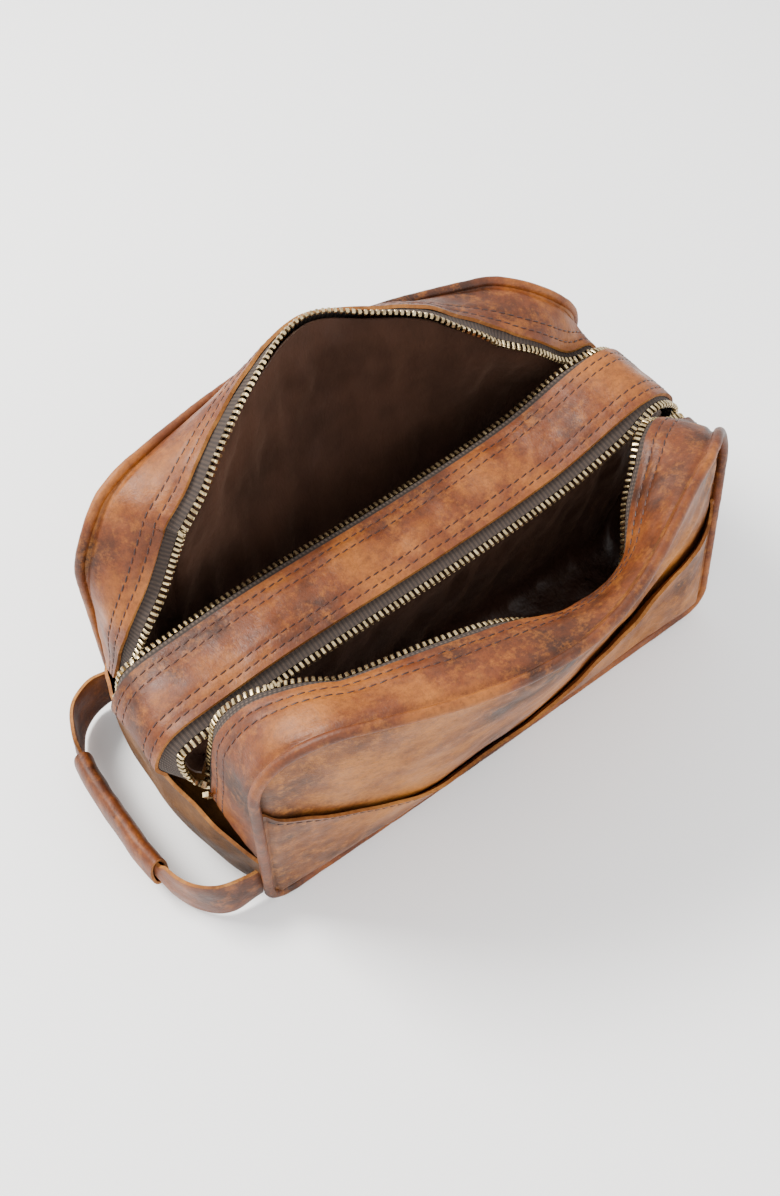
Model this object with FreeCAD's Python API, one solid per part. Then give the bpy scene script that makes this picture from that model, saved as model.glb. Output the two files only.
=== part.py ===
import FreeCAD, Part
import math
import os

# Leather shaving kit bag with two zipped compartments and a carrying handle on its left end.
# Millimetres. X runs along the bag, -Y is the front wall, +Z is up. The origin is on the
# ground under the middle of the bag. The bag stands open and slack, so each soft piece is a
# sheet over a grid of points that follows the sagging shape.

V = FreeCAD.Vector

# Overall size
width = 265.0            # between the two ends, seam to seam
depth = 133.0            # front wall to rear wall at the base
height = 140.0           # wall height along the leather
corner_top = 39.0        # round top corners of the walls
corner_base = 12.0       # round bottom corners of the walls

# Leather, lining and trim
leather = 1.6
lining = 0.8
gap = 0.2                # clearance between layers that lie on each other
pocket_gap = 0.6         # the same behind the slack pocket
tape_gap = 0.35          # the same between leather and zip tape
piping_r = 2.4
strip_width = 30.0       # outer leather strips of the top
mid_width = 35.0         # leather strip between the zips
seam_height = 40.0       # where the strips meet the end piece, at the walls
seam_rise = 27.0         # how much higher that seam is in the middle of the end
left_bulge = 15.0        # the slack ends push out
right_bulge = 2.0

# Zips
tape = 0.7
tape_hidden = 6.0        # tape sewn under the leather
tape_shown = 5.0         # tape between leather and teeth
tape_shown_end = 2.0     # the same at the right end, where the rows run side by side
tooth_pitch = 2.7
tooth_along = 1.4
tooth_across = 3.4
tooth_thick = 2.4
row_spacing = 3.0        # between the two rows at the slider
tooth_seat = 0.3         # teeth start just past the tape's edge
stop_size = (2.0, 3.8, 2.8)
stop_room = 8.6          # straight distance from a tape's end to its first tooth
slider_travel = 16.0
slider_length = 9.0
slider_play = 0.3
plate = 1.3
bridge_in, bridge_out, bridge_wide = 1.0, 2.2, 2.4
pull_thick, pull_width, pull_length = 1.2, 7.0, 26.0

# Lining
lining_floor = 7.0
divider_gap = 4.0        # each sack's inner wall from the middle, at the floor
slider_room = 3.0        # extra drop below the tapes where the slider runs

# Handle
handle_height = 17.0     # its sewn ends above the ground
handle_reach = 34.0      # how far it stands off the bag's end
strap_width = 28.0
strap_thick = 2.4
grip_height = 23.0
grip_thick = 9.0
handle_half = 62.5       # half the distance between its sewn ends
strap_start = 1.5
strap_clear = 3.0        # the strap's free length starts this far from its sewn line
grip_start = 50.0        # length of strap before the grip

half = width / 2
strip_steps = 56
mid_shift = 2.5          # the middle strip has slid a little towards the front
row_centre = mid_width / 2 + tape_shown_end + tooth_across + row_spacing / 2
end_x = half + right_bulge
end_low = seam_height + seam_rise - 4      # lower end of the zips at the right end
# Corner of each zip at the right end: radius, height where it starts to turn, and pace.
outer_turn = {-1: (18.0, 100.0, 0.785), 1: (24.0, 93.0, 0.80)}
mid_turn = (16.0, 104.0, 0.70)
lining_drop = tape / 2 + stop_size[2] / 2 + gap + lining

os.makedirs("parts", exist_ok=True)


# ---------------------------------------------------------------- small helpers
def mix(a, b, t):
    return a + (b - a) * t


def ease(t):
    t = max(0.0, min(1.0, t))
    return t * t * (3 - 2 * t)


def swell(x, centre, left, right):
    """1 at the centre, falling smoothly to 0 at the given distances."""
    d = abs(x - centre) / (right if x > centre else left)
    return math.cos(math.pi / 2 * d) ** 1.3 if d < 1 else 0.0


def through(keys, t):
    """A smooth curve through a few (t, value) keys."""
    if t <= keys[0][0]:
        return keys[0][1]
    if t >= keys[-1][0]:
        return keys[-1][1]
    i = max(k for k in range(len(keys) - 1) if keys[k][0] <= t)
    (t0, v0), (t1, v1) = keys[i], keys[i + 1]
    before = keys[i - 1] if i > 0 else keys[i]
    after = keys[i + 2] if i + 2 < len(keys) else keys[i + 1]
    span = t1 - t0
    m0 = (v1 - before[1]) / (t1 - before[0]) * span
    m1 = (after[1] - v0) / (after[0] - t0) * span
    u = (t - t0) / span
    return ((2 * u**3 - 3 * u**2 + 1) * v0 + (u**3 - 2 * u**2 + u) * m0
            + (3 * u**2 - 2 * u**3) * v1 + (u**3 - u**2) * m1)


def steps(n):
    return [i / n for i in range(n + 1)]


def unit(v):
    return v * (1 / v.Length)


def mid(a, b):
    return (a + b) * 0.5


# ---------------------------------------------------------------- solids from grids
def quads(a, b, c, d):
    """Two triangles that fill a cell."""
    return [(a, b, c), (a, c, d)]


def solid_from(points, triangles):
    shell = Part.Shape()
    shell.makeShapeFromMesh((points, triangles), 0.001)
    solid = Part.makeSolid(Part.Shell(shell.Faces))
    if solid.Volume < 0:
        solid.reverse()
    return solid


def thick(outer, inner):
    """Closed solid between two grids of points that match one to one."""
    rows, cols = len(outer), len(outer[0])
    layer = rows * cols
    points = [p for grid in (outer, inner) for row in grid for p in row]
    triangles = []
    for i in range(rows - 1):
        for j in range(cols - 1):
            a, b = i * cols + j, (i + 1) * cols + j
            triangles += quads(a, b, b + 1, a + 1)
            triangles += quads(layer + a, layer + a + 1, layer + b + 1, layer + b)
    rim = [(0, j) for j in range(cols)] + [(i, cols - 1) for i in range(1, rows)]
    rim += [(rows - 1, j) for j in reversed(range(cols - 1))]
    rim += [(i, 0) for i in reversed(range(1, rows - 1))]
    rim = [i * cols + j for i, j in rim]
    for a, b in zip(rim, rim[1:] + rim[:1]):
        triangles += quads(a, b, layer + b, layer + a)
    return solid_from(points, triangles)


def tube_faces(grid, first):
    """Triangles between closed rings, whose last point is not repeated."""
    count = len(grid[0])
    out = []
    for i in range(len(grid) - 1):
        for j in range(count):
            a, b = first + i * count, first + (i + 1) * count
            k = (j + 1) % count
            out += quads(a + j, b + j, b + k, a + k)
    return out


def normals(grid):
    """Unit normals of a grid of points, from its neighbours."""
    rows, cols = len(grid), len(grid[0])
    out = []
    for i in range(rows):
        line = []
        for j in range(cols):
            du = grid[min(i + 1, rows - 1)][j] - grid[max(i - 1, 0)][j]
            dv = grid[i][min(j + 1, cols - 1)] - grid[i][max(j - 1, 0)]
            line.append(unit(du.cross(dv)))
        out.append(line)
    return out


def shifted(grid, distance):
    n = normals(grid)
    return [[p + n[i][j] * distance for j, p in enumerate(row)] for i, row in enumerate(grid)]


def sheet(grid, thickness):
    """Sheet that grows by `thickness` along the normals of a grid of points."""
    return thick(grid, shifted(grid, thickness))


def tube(points, radius):
    """Round solid along a line of points that lies near a plane of constant y."""
    grid = []
    for i, p in enumerate(points):
        along = unit(points[min(i + 1, len(points) - 1)] - points[max(i - 1, 0)])
        side = unit(along.cross(V(0, 1, 0)))
        up = side.cross(along)
        ring = [p + (side * math.cos(a * 2 * math.pi) + up * math.sin(a * 2 * math.pi)) * radius
                for a in steps(12)[:-1]]
        grid.append(ring)
    count = len(grid[0])
    last = (len(grid) - 1) * count
    triangles = tube_faces(grid, 0)
    for j in range(1, count - 1):
        triangles += [(0, j, j + 1), (last, last + j + 1, last + j)]
    return solid_from([p for ring in grid for p in ring], triangles)


def save(name, shape):
    shape.exportStep("parts/%s.step" % name)
    boxed = shape.BoundBox
    print("%-22s solids %3d  volume %9.1f  z %6.1f to %6.1f  valid %s" % (
        name, len(shape.Solids), shape.Volume, boxed.ZMin, boxed.ZMax, shape.isValid()))


# ---------------------------------------------------------------- the slack shape
def lean(x, side):
    """Outward lean of the front (side -1) or rear (side 1) wall in radians."""
    u = x / half
    if side < 0:
        degrees = 15 * swell(u, -0.04, 1.02, 0.82) - 8 * ease((u - 0.72) / 0.3)
    else:
        degrees = 10 * swell(u, 0.04, 1.02, 0.75) - 9.5 * ease((u - 0.66) / 0.32)
        degrees -= 2 * ease((-u - 0.83) / 0.17)
    return math.radians(degrees)


def wall(x, h, side, proud=0.0):
    """Point of a wall at x and at height h along the leather, `proud` of its surface."""
    a = lean(x, side)
    belly = 4 * swell(x / half, -0.38, 0.6, 0.7) if side < 0 else 2 * swell(x / half, 0, 0.9, 0.9)
    out = h * math.sin(a) + belly * math.sin(math.pi * max(0, min(1, h / height))) + proud
    return V(x, side * (depth / 2 + out), h * math.cos(a))


arch_run = [height - corner_top - seam_height, math.pi / 2 * corner_top, width - 2 * corner_top]
arch_run += [arch_run[1], arch_run[0]]
arch_length = sum(arch_run)


def arch(t):
    """x and height of the wall's edge, from the left seam over the top to the right seam."""
    s = t * arch_length
    left = min(s, arch_length - s)
    mirror = -1 if s < arch_length / 2 else 1
    if left <= arch_run[0]:
        return mirror * half, seam_height + left
    left -= arch_run[0]
    if left <= arch_run[1]:
        a = left / corner_top
        return (mirror * (half - corner_top + corner_top * math.cos(a)),
                height - corner_top + corner_top * math.sin(a))
    return mirror * (half - corner_top - (left - arch_run[1])), height


def wall_edge(t, side):
    x, h = arch(t)
    return wall(x, h, side)


def strip_frame(t, side):
    """Edge point, inward direction and outward normal of a strip, square to the wall's edge."""
    p = wall_edge(t, side)
    along = unit(wall_edge(min(1, t + 0.004), side) - wall_edge(max(0, t - 0.004), side))
    inward = V(0, -side, 0)
    inward = unit(inward - along * along.dot(inward))
    up = along.cross(inward) if side < 0 else inward.cross(along)
    return p, inward, up


# Droop of the strips below the square direction, in degrees along the arch. The front strip
# sags between its corners, and the rear strip stands up, pushed by what the bag holds.
front_droop = [(0, -8), (0.15, 3), (0.23, 24), (0.38, 12), (0.46, 17), (0.55, 43),
               (0.63, 57), (0.70, 34), (0.78, 22), (0.87, 2), (1, 2)]
rear_droop = [(0, -15), (0.12, 3), (0.19, 38), (0.26, 7), (0.31, -25), (0.38, -50),
              (0.48, -69), (0.56, -53), (0.63, -38), (0.67, -19), (0.73, 8), (0.79, 34),
              (0.87, 4), (1, 2)]


def strip_way(t, side):
    """Direction across an outer strip, from the wall to the zip, and its outward normal."""
    p, inward, up = strip_frame(t, side)
    a = math.radians(through(front_droop if side < 0 else rear_droop, t))
    return p, inward * math.cos(a) - up * math.sin(a), up * math.cos(a) + inward * math.sin(a)


def end_line(t, y, turn):
    """A zip line at the right end: upright, then turning over the corner onto the top."""
    radius, start_z, speed = turn
    run = (1 - t) * arch_length * speed
    upright = start_z - end_low
    over = run - upright
    if over <= 0:
        return V(end_x, y, end_low + run)
    a = min(over / radius, math.pi / 2)
    past = max(0, over - radius * math.pi / 2)
    return V(end_x - radius * (1 - math.cos(a)) - past, y, start_z + radius * math.sin(a))


def strip_edge(t, side):
    """Zip edge of an outer strip."""
    p, way, up = strip_way(t, side)
    q = p + way * strip_width
    nearest = 2 * row_centre - mid_width / 2
    straight = end_line(t, side * nearest, outer_turn[side])
    if t < 0.12:
        lift = seam_rise * (1 - t / 0.12)
        q = q + V(0, 0, lift * 0.9)
    if t > 0.6:
        room = abs(q.y) - nearest
        q.y = side * (nearest + max(room, 0) + 3 * math.exp(-abs(room) / 3) * ease((t - 0.66) / 0.08) * 0.5)
    return q + (straight - q) * ease((t - 0.775) / 0.085)


# Height and reach of the middle strip along its length: low at the left, higher at the right.
mid_x = [(0, -1.115), (0.03, -1.14), (0.065, -1.10), (0.10, -1.03), (0.15, -0.89),
         (0.25, -0.60), (0.45, 0.02), (0.60, 0.46), (0.74, 0.80), (0.80, 0.92), (0.87, 1.0)]
mid_z = [(0, 0.475), (0.03, 0.55), (0.065, 0.635), (0.10, 0.678), (0.15, 0.70),
         (0.25, 0.73), (0.45, 0.745), (0.60, 0.79), (0.74, 0.892), (0.80, 0.872), (0.87, 0.78)]


def mid_line(t, y):
    """Point of the middle strip at t along it and y from its centre line."""
    shift = mid_shift * (1 - ease((t - 0.75) / 0.1))
    x = through(mid_x, t) * half
    z = through(mid_z, t) * height
    straight = end_line(t, 0, mid_turn)
    k = ease((t - 0.78) / 0.07)
    crown = 1.2 * (1 - (2 * y / mid_width) ** 2)
    return V(mix(x, straight.x, k), y - shift, mix(z + crown, straight.z, k))


# ---------------------------------------------------------------- walls, pocket and piping
base_line = piping_r + gap      # the piping's middle line above the ground


def wall_outline(inset):
    """Rows of (height, half width) up a wall, with its round corners."""
    low, high = corner_base - inset, corner_top - inset
    bend = base_line + corner_base
    rows = []
    for a in steps(4):
        a = mix(math.pi / 2 - corner_sweep, math.pi / 2, a)
        rows.append((bend - low * math.cos(a), half - corner_base + low * math.sin(a)))
    straight = height - corner_top - bend
    for k in steps(5)[1:-1]:
        rows.append((bend + straight * k, half - inset))
    for a in steps(6):
        a *= corner_sweep
        rows.append((height - corner_top + high * math.sin(a),
                     half - corner_top + high * math.cos(a)))
    return rows


edge_inset = piping_r + gap
corner_sweep = math.radians(80)      # a wall's round corners stop short of level


def wall_sheet(side):
    columns = steps(36)
    outer = [[wall(mix(-w, w, c), h, side) for c in columns]
             for h, w in wall_outline(edge_inset)]
    inner = [[wall(mix(-w, w, c), h, side, -leather) for c in columns]
             for h, w in wall_outline(edge_inset)]
    return thick(outer, inner)


# Top edge of the front pocket: high at both ends, with a long dip.
pocket_edge = [(-1, 0.66), (-0.94, 0.60), (-0.84, 0.55), (-0.57, 0.37), (-0.30, 0.27),
               (0.04, 0.145), (0.18, 0.21), (0.32, 0.36), (0.63, 0.45), (0.85, 0.52), (1, 0.56)]


def pocket_sheet():
    bend = base_line + corner_base
    base_rows = [(h, w) for h, w in wall_outline(edge_inset) if h < bend + 1]
    columns = steps(36)
    grid = {0: [], 1: []}
    for layer in (0, 1):
        proud = pocket_gap + layer * leather
        for h, w in base_rows:
            grid[layer].append([wall(mix(-w, w, c), h, -1, proud) for c in columns])
        w = half - edge_inset
        for k in steps(6)[1:]:
            line = []
            for c in columns:
                x = mix(-w, w, c)
                top = through(pocket_edge, x / half) * height
                line.append(wall(x, mix(bend, top, k), -1, proud))
            grid[layer].append(line)
    return thick(grid[1], grid[0])


def piping(side):
    """Leather-covered cord round a wall, butted at the middle of the base."""
    ring = []
    bend = base_line + corner_base
    straight = height - corner_top - bend
    for k in steps(8):
        ring.append((mix(0.3, half - corner_base, k), base_line))
    for a in steps(5)[1:]:
        a *= math.pi / 2
        ring.append((half - corner_base + corner_base * math.sin(a),
                     bend - corner_base * math.cos(a)))
    for k in steps(5)[1:]:
        ring.append((half, bend + straight * k))
    for a in steps(8)[1:]:
        a *= math.pi / 2
        ring.append((half - corner_top * (1 - math.cos(a)),
                     height - corner_top * (1 - math.sin(a))))
    for k in steps(10)[1:]:
        ring.append((mix(half - corner_top, 0, k), height))
    ring += [(-x, h) for x, h in reversed(ring[:-1])]
    points = [wall(x, h, side) for x, h in ring]
    return tube(points, piping_r)


# ---------------------------------------------------------------- top strips and end piece
def outer_strip(side):
    top, bottom = [], []
    for t in steps(strip_steps):
        p, way, up = strip_way(t, side)
        edge = strip_edge(t, side)
        steep = max(0, through(front_droop if side < 0 else rear_droop, t) - 18) / 40
        toward = unit(edge - p)
        along = unit(wall_edge(min(1, t + 0.004), side) - wall_edge(max(0, t - 0.004), side))
        square = (toward - along * along.dot(toward)).Length
        start = p + toward * ((edge_inset + 2 * gap + 3.5 * steep) / square)
        edge_up = row_frame(t, side, True)[2]
        top.append([])
        bottom.append([])
        for k in steps(5):
            q = start + (edge - start) * k + up * math.sin(math.pi * k)
            top[-1].append(q)
            bottom[-1].append(q - unit(up + (edge_up - up) * k) * leather)
    return thick(top, bottom)


def middle_strip():
    top, bottom = [], []
    for t in steps(strip_steps):
        up = row_frame(t, 1, False)[2]
        line = [mid_line(t, mix(-mid_width / 2, mid_width / 2, k)) for k in steps(5)]
        top.append(line)
        bottom.append([p - up * leather for p in line])
    return thick(top, bottom)


def end_piece():
    """One wide strip: left end, base and right end. Its top edges meet the three strips."""
    edge = depth / 2 - edge_inset
    grid = []
    across = [mix(-1, 1, k) for k in steps(14)]

    def seam(side, v):
        if side < 0:
            keys = [(-1, seam_height - 2), (-0.78, seam_height + 8), (-0.5, seam_height + 20),
                    (-0.25, seam_height + seam_rise - 4), (0.25, seam_height + seam_rise - 4),
                    (0.55, seam_height + 16), (1, seam_height - 2)]
        else:
            return seam_height - 3 + (seam_rise - 4) * (1 - abs(v) ** 2.4)
        return through(keys, v)

    def out(side, z, v):
        push = left_bulge if side < 0 else right_bulge
        upright = ease(z / 22) * mix(1, 1.05, z / 70)
        return push * upright * max(0.0, 1 - abs(v) ** 2.6)

    def end_point(side, z, v):
        y = v * wall_y(side * half, z, v)
        if z < corner_base:
            a = math.acos(1 - z / corner_base)
            x = half - corner_base + corner_base * math.sin(a)
        else:
            x = half
        return V(side * (x + out(side, z, v)), y, z)

    def wall_y(x, z, v):
        side = -1 if v < 0 else 1
        return abs(wall(x, z, side).y) - edge_inset

    columns = []
    for k in reversed(steps(7)):
        columns.append(("left", k))
    for a in reversed(steps(4)[:-1]):
        columns.append(("left_corner", a))
    for k in steps(10)[1:-1]:
        columns.append(("base", k))
    for a in steps(4)[:-1]:
        columns.append(("right_corner", a))
    for k in steps(7):
        columns.append(("right", k))
    for kind, k in columns:
        line = []
        for v in across:
            if kind in ("left", "right"):
                side = -1 if kind == "left" else 1
                z = mix(corner_base, seam(side, v), k)
                line.append(end_point(side, z, v))
            elif kind == "base":
                x = mix(-1, 1, k) * (half - corner_base)
                line.append(V(x, v * edge, 0))
            else:
                side = -1 if kind == "left_corner" else 1
                z = corner_base * (1 - math.cos(k * math.pi / 2))
                line.append(end_point(side, z, v))
        grid.append(line)
    return grid


# ---------------------------------------------------------------- zips
closed_left = {-1: V(-half - 5.5, -35.5, 67), 1: V(-half - 13.5, 21, 68)}


def row_frame(t, side, outer):
    """Edge of the leather beside a zip, direction to the mouth, outward normal and its dip."""
    line = (lambda u: strip_edge(u, side)) if outer else (lambda u: mid_line(u, side * mid_width / 2))
    along = unit(line(min(1, t + 0.004)) - line(max(0, t - 0.004)))
    straight = ease((t - 0.775) / 0.085)
    if outer:
        way = unit(strip_way(t, side)[1] * (1 - straight) + V(0, -side, 0) * straight)
    else:
        way = V(0, side, 0)
    way = unit(way - along * along.dot(way))
    up = along.cross(way) if way.y > 0 else way.cross(along)
    dip = math.radians((14 if outer else 22) * (1 - straight))
    return line(t), way, up, dip


def tape_line(t, side, outer):
    """Points across a tape, from under the leather to its toothed edge, and its normal."""
    q, way, up, dip = row_frame(t, side, outer)
    q = q - up * (leather + tape_gap)
    edge_way = way * math.cos(dip) - up * math.sin(dip)
    edge = q + edge_way * mix(tape_shown, tape_shown_end, ease((t - 0.69) / 0.08))
    meet = closed_left[side] + V(0, (1 if outer else -1) * side * (tooth_across + 0.3), 0)
    edge = edge + (meet - edge) * (1 - ease(t / (0.05 if outer else 0.075)))
    start = q - way * tape_hidden
    return [start, mid(start, q), q, mid(q, edge), edge], up


def tape_sheet(side, outer):
    top, bottom = [], []
    for t in steps(strip_steps):
        line, up = tape_line(t, side, outer)
        top.append(line)
        bottom.append([p - up * tape for p in line])
    return thick(top, bottom)


def block(edge, way, along, size):
    """Box set on the edge of a tape: (along the tape, out from the edge, through it)."""
    way = unit(way - along * along.dot(way))
    up = along.cross(way)
    box = Part.makeBox(*size)
    box.Placement = FreeCAD.Placement(FreeCAD.Matrix(
        along.x, way.x, up.x, 0, along.y, way.y, up.y, 0, along.z, way.z, up.z, 0, 0, 0, 0, 1))
    box.translate(edge + way * tooth_seat - along * (size[0] / 2) - up * (size[2] / 2))
    return box


def teeth(side, outer):
    """One row of metal teeth, spaced evenly along the tape's edge, and its top stop."""
    fine = 22
    knots = []
    for t in steps(strip_steps):
        line, up = tape_line(t, side, outer)
        knots.append((line[-1] - up * (tape / 2), line[-1] - line[-2]))
    rows = []
    for (a, way_a), (b, way_b) in zip(knots, knots[1:]):
        for k in steps(fine)[:-1]:
            rows.append((a + (b - a) * k, way_a + (way_b - way_a) * k))
    rows.append(knots[-1])
    run, wanted, solids = 0.0, tooth_pitch * 2, []
    size = (tooth_along, tooth_across, tooth_thick)
    for i in range(1, len(rows) - 1):
        run += (rows[i][0] - rows[i - 1][0]).Length
        near_end = i > len(rows) / 2 and rows[i][0].z < end_low + tooth_along
        near_stop = (rows[i][0] - rows[0][0]).Length < stop_room
        if near_stop:
            wanted = run
        if run < wanted or near_end or near_stop:
            continue
        wanted += tooth_pitch
        solids.append(block(rows[i][0], rows[i][1], unit(rows[i + 1][0] - rows[i - 1][0]), size))
    stop = block(rows[1][0], rows[1][1], unit(rows[2][0] - rows[0][0]), stop_size)
    return Part.makeCompound(solids), stop


# ---------------------------------------------------------------- lining
def evenly(points, count):
    """`count` equal steps along a line of points."""
    run = [0.0]
    for a, b in zip(points, points[1:]):
        run.append(run[-1] + (b - a).Length)
    out = []
    for k in steps(count):
        want = k * run[-1]
        i = max(j for j in range(len(run) - 1) if run[j] <= want + 1e-9)
        out.append(points[i] + (points[i + 1] - points[i]) * ((want - run[i]) / (run[i + 1] - run[i])))
    return out


def lining_section(t, side):
    """Line of a lining sack at t: down the wall, over the floor and up the divider."""
    tops = []
    for outer in (True, False):
        line, up = tape_line(t, side, outer)
        way = unit(line[-1] - line[-2])
        drop = lining_drop + slider_room * ease((t - 0.62) / 0.06) + 2 * (1 - ease(t / 0.16))
        tops.append(line[-1] - way * 1.5 - up * (drop + 0.3))
    spread = mix(0.35, 1, ease(t / 0.15) * ease((1 - t) / 0.15))
    x = through([(0, -half + 15), (0.12, -half + 13), (0.22, -half + 26), (0.78, half - 26),
                 (0.9, half - 12), (1, half - 10)], t)
    z = through([(0, 56), (0.12, 20), (0.2, lining_floor), (0.3, lining_floor), (0.7, lining_floor),
                 (0.8, lining_floor), (0.9, 20), (1, 52)], t)
    outer_foot = V(x, side * mix(row_centre + 8, depth / 2 - 9, spread), z)
    inner_foot = V(x, side * divider_gap - mid_shift, z)
    corners = [tops[0], outer_foot, inner_foot, tops[1]]
    points = [corners[0]]
    for i in (1, 2):
        a, b, c = corners[i - 1], corners[i], corners[i + 1]
        r = min(14, (b - a).Length * 0.45, (c - b).Length * 0.45)
        p, q = b + unit(a - b) * r, b + unit(c - b) * r
        points += [p * (1 - k) ** 2 + b * (2 * k * (1 - k)) + q * k**2 for k in steps(8)]
    points.append(corners[3])
    return evenly(points, 20)


def lining_sack(side):
    grid = [lining_section(mix(0.02, 0.985, k), side) for k in steps(40)]
    return sheet(grid, -side * lining)


# ---------------------------------------------------------------- sliders, pulls and stops
def slab(x, y, z):
    """Box from three (low, high) pairs."""
    return Part.makeBox(x[1] - x[0], y[1] - y[0], z[1] - z[0], V(x[0], y[0], z[0]))


row_x = end_x - leather - tape_gap - tape / 2          # middle of the rows' thickness
slide_low = seam_height + seam_rise               # bottom of a slider at rest
slide_high = slide_low + slider_length
plate_out = (row_x + tooth_thick / 2 + slider_play, row_x + tooth_thick / 2 + slider_play + plate)
plate_in = (row_x - tooth_thick / 2 - slider_play - plate, row_x - tooth_thick / 2 - slider_play)
pivot = V(plate_out[1] + pull_thick / 2 + 0.4, 0, (slide_low + slide_high) / 2)


def slider(side):
    y0 = side * row_centre
    row_out = row_spacing / 2 + tooth_across
    wide = row_out + tooth_seat + 0.8
    z = (slide_low, slide_high)
    parts = [slab(plate_out, (y0 - wide, y0 + wide), z), slab(plate_in, (y0 - wide, y0 + wide), z)]
    post = row_spacing / 2 - 0.4
    parts.append(slab((plate_in[0], plate_out[1]), (y0 - post, y0 + post), (slide_high - 3, slide_high)))
    lip = row_x + tape / 2 + gap, row_x - tape / 2 - gap
    for sign in (-1, 1):
        ys = sorted((y0 + sign * (row_out + tooth_seat + 0.2), y0 + sign * wide))
        parts.append(slab((lip[0], plate_out[1]), ys, z))
        parts.append(slab((plate_in[0], lip[1]), ys, z))
    ring = Part.makeCylinder(bridge_out, bridge_wide, V(pivot.x, y0 - bridge_wide / 2, pivot.z), V(0, 1, 0))
    hole = Part.makeCylinder(bridge_in, bridge_wide, V(pivot.x, y0 - bridge_wide / 2, pivot.z), V(0, 1, 0))
    below = slab((pivot.x - 9, plate_out[1]), (y0 - 9, y0 + 9), (pivot.z - 9, pivot.z + 9))
    body = parts[0].fuse(parts[1:])
    return body.fuse(ring.cut(below)).cut(hole).removeSplitter()


def pull(side):
    """Tab that hangs from the slider's bridge by its cross bar."""
    y0 = side * row_centre
    arm = bridge_wide / 2 + 0.5
    x = (pivot.x - pull_thick / 2, pivot.x + pull_thick / 2)
    tab = slab(x, (y0 - pull_width / 2, y0 + pull_width / 2), (pivot.z - pull_length, pivot.z))
    tab = tab.makeFillet(pull_width / 2 - 0.6, [e for e in tab.Edges if e.Length < pull_thick + 0.01
                                               and e.CenterOfMass.z < pivot.z - 1
                                               and abs(e.Vertexes[0].Z - e.Vertexes[1].Z) < 0.01])
    window = slab((x[0] - 1, x[1] + 1), (y0 - arm, y0 + arm), (pivot.z - bridge_out - 0.8, pivot.z + 9))
    bar = Part.makeCylinder(pull_thick / 2, pull_width, V(pivot.x, y0 - pull_width / 2, pivot.z), V(0, 1, 0))
    hole = Part.makeCylinder(pull_width * 0.18, 9, V(x[0] - 1, y0, pivot.z - pull_length + 4), V(1, 0, 0))
    return tab.cut(window).fuse(bar).cut(hole).removeSplitter()


def bottom_stop(side):
    y0 = side * row_centre
    reach = row_spacing / 2 + tooth_across
    z = end_low
    return slab((row_x - 1.4, row_x + 1.4), (y0 - reach, y0 + reach), (z - 2.2, z - 0.3))


# ---------------------------------------------------------------- carrying handle
def handle_point(a):
    """Middle of the strap seen from above, a from -1 (front end) to 1 (rear end)."""
    angle = a * math.pi / 2
    out = handle_reach * abs(math.cos(angle)) ** 0.66
    return V(-half - strap_start - out, handle_half * math.copysign(abs(math.sin(angle)) ** 0.66, a), handle_height)


def handle_path(count, low, high):
    """Evenly spaced points and outward normals on the strap's middle line."""
    fine = 2000
    raw = [handle_point(-1 + 2 * i / fine) for i in range(fine + 1)]
    run = [0.0]
    for i in range(fine):
        run.append(run[-1] + (raw[i + 1] - raw[i]).Length)
    out = []
    for k in steps(count):
        want = mix(low, high, k) * run[-1]
        i = min(fine - 1, max(1, sum(1 for r in run if r < want)))
        way = unit(raw[min(i + 6, fine)] - raw[max(i - 6, 0)])
        out.append((raw[i], V(-way.y, way.x, 0) * -1))
    return out, run[-1]


def strap():
    path, length = handle_path(60, strap_clear / 190, 1 - strap_clear / 190)
    outer, inner = [], []
    for i, (p, normal) in enumerate(path):
        from_end = min(i, 60 - i) / 60 * length + strap_clear
        tall = mix(2 * strap_clear - 1, strap_width, ease((from_end - strap_clear) / 16))
        tall = mix(tall, grip_height - 6, ease((from_end - grip_start + 7) / 6))
        column = [V(0, 0, mix(-tall / 2, tall / 2, k)) for k in steps(3)]
        outer.append([p + normal * (strap_thick / 2) + c for c in column])
        inner.append([p - normal * (strap_thick / 2) + c for c in column])
    return thick(outer, inner)


def grip():
    """Leather rolled round the middle of the strap."""
    length = handle_path(1, 0, 1)[1]
    low = grip_start / length
    path = handle_path(40, low, 1 - low)[0]

    def body(tall, wide, square):
        grid = []
        for p, normal in path:
            ring = []
            for k in steps(16)[:-1]:
                a = k * 2 * math.pi
                c, s = math.cos(a), math.sin(a)
                ring.append(p + normal * (wide / 2 * math.copysign(abs(c) ** square, c))
                            + V(0, 0, tall / 2 * math.copysign(abs(s) ** square, s)))
            grid.append(ring)
        return grid

    skin = body(grip_height, grip_thick, 0.9)
    hollow = body(grip_height - 4, strap_thick + 1.6, 0.4)
    count, rows = len(skin[0]), len(skin)
    first = count * rows
    triangles = tube_faces(skin, 0)
    triangles += [(a, c, b) for a, b, c in tube_faces(hollow, first)]
    for row, flip in ((0, False), (rows - 1, True)):
        for j in range(count):
            a, b = row * count + j, row * count + (j + 1) % count
            ring = quads(a, b, first + b, first + a)
            triangles += [(p, r, q) for p, q, r in ring] if flip else ring
    return solid_from([p for grid in (skin, hollow) for ring in grid for p in ring], triangles)


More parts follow.
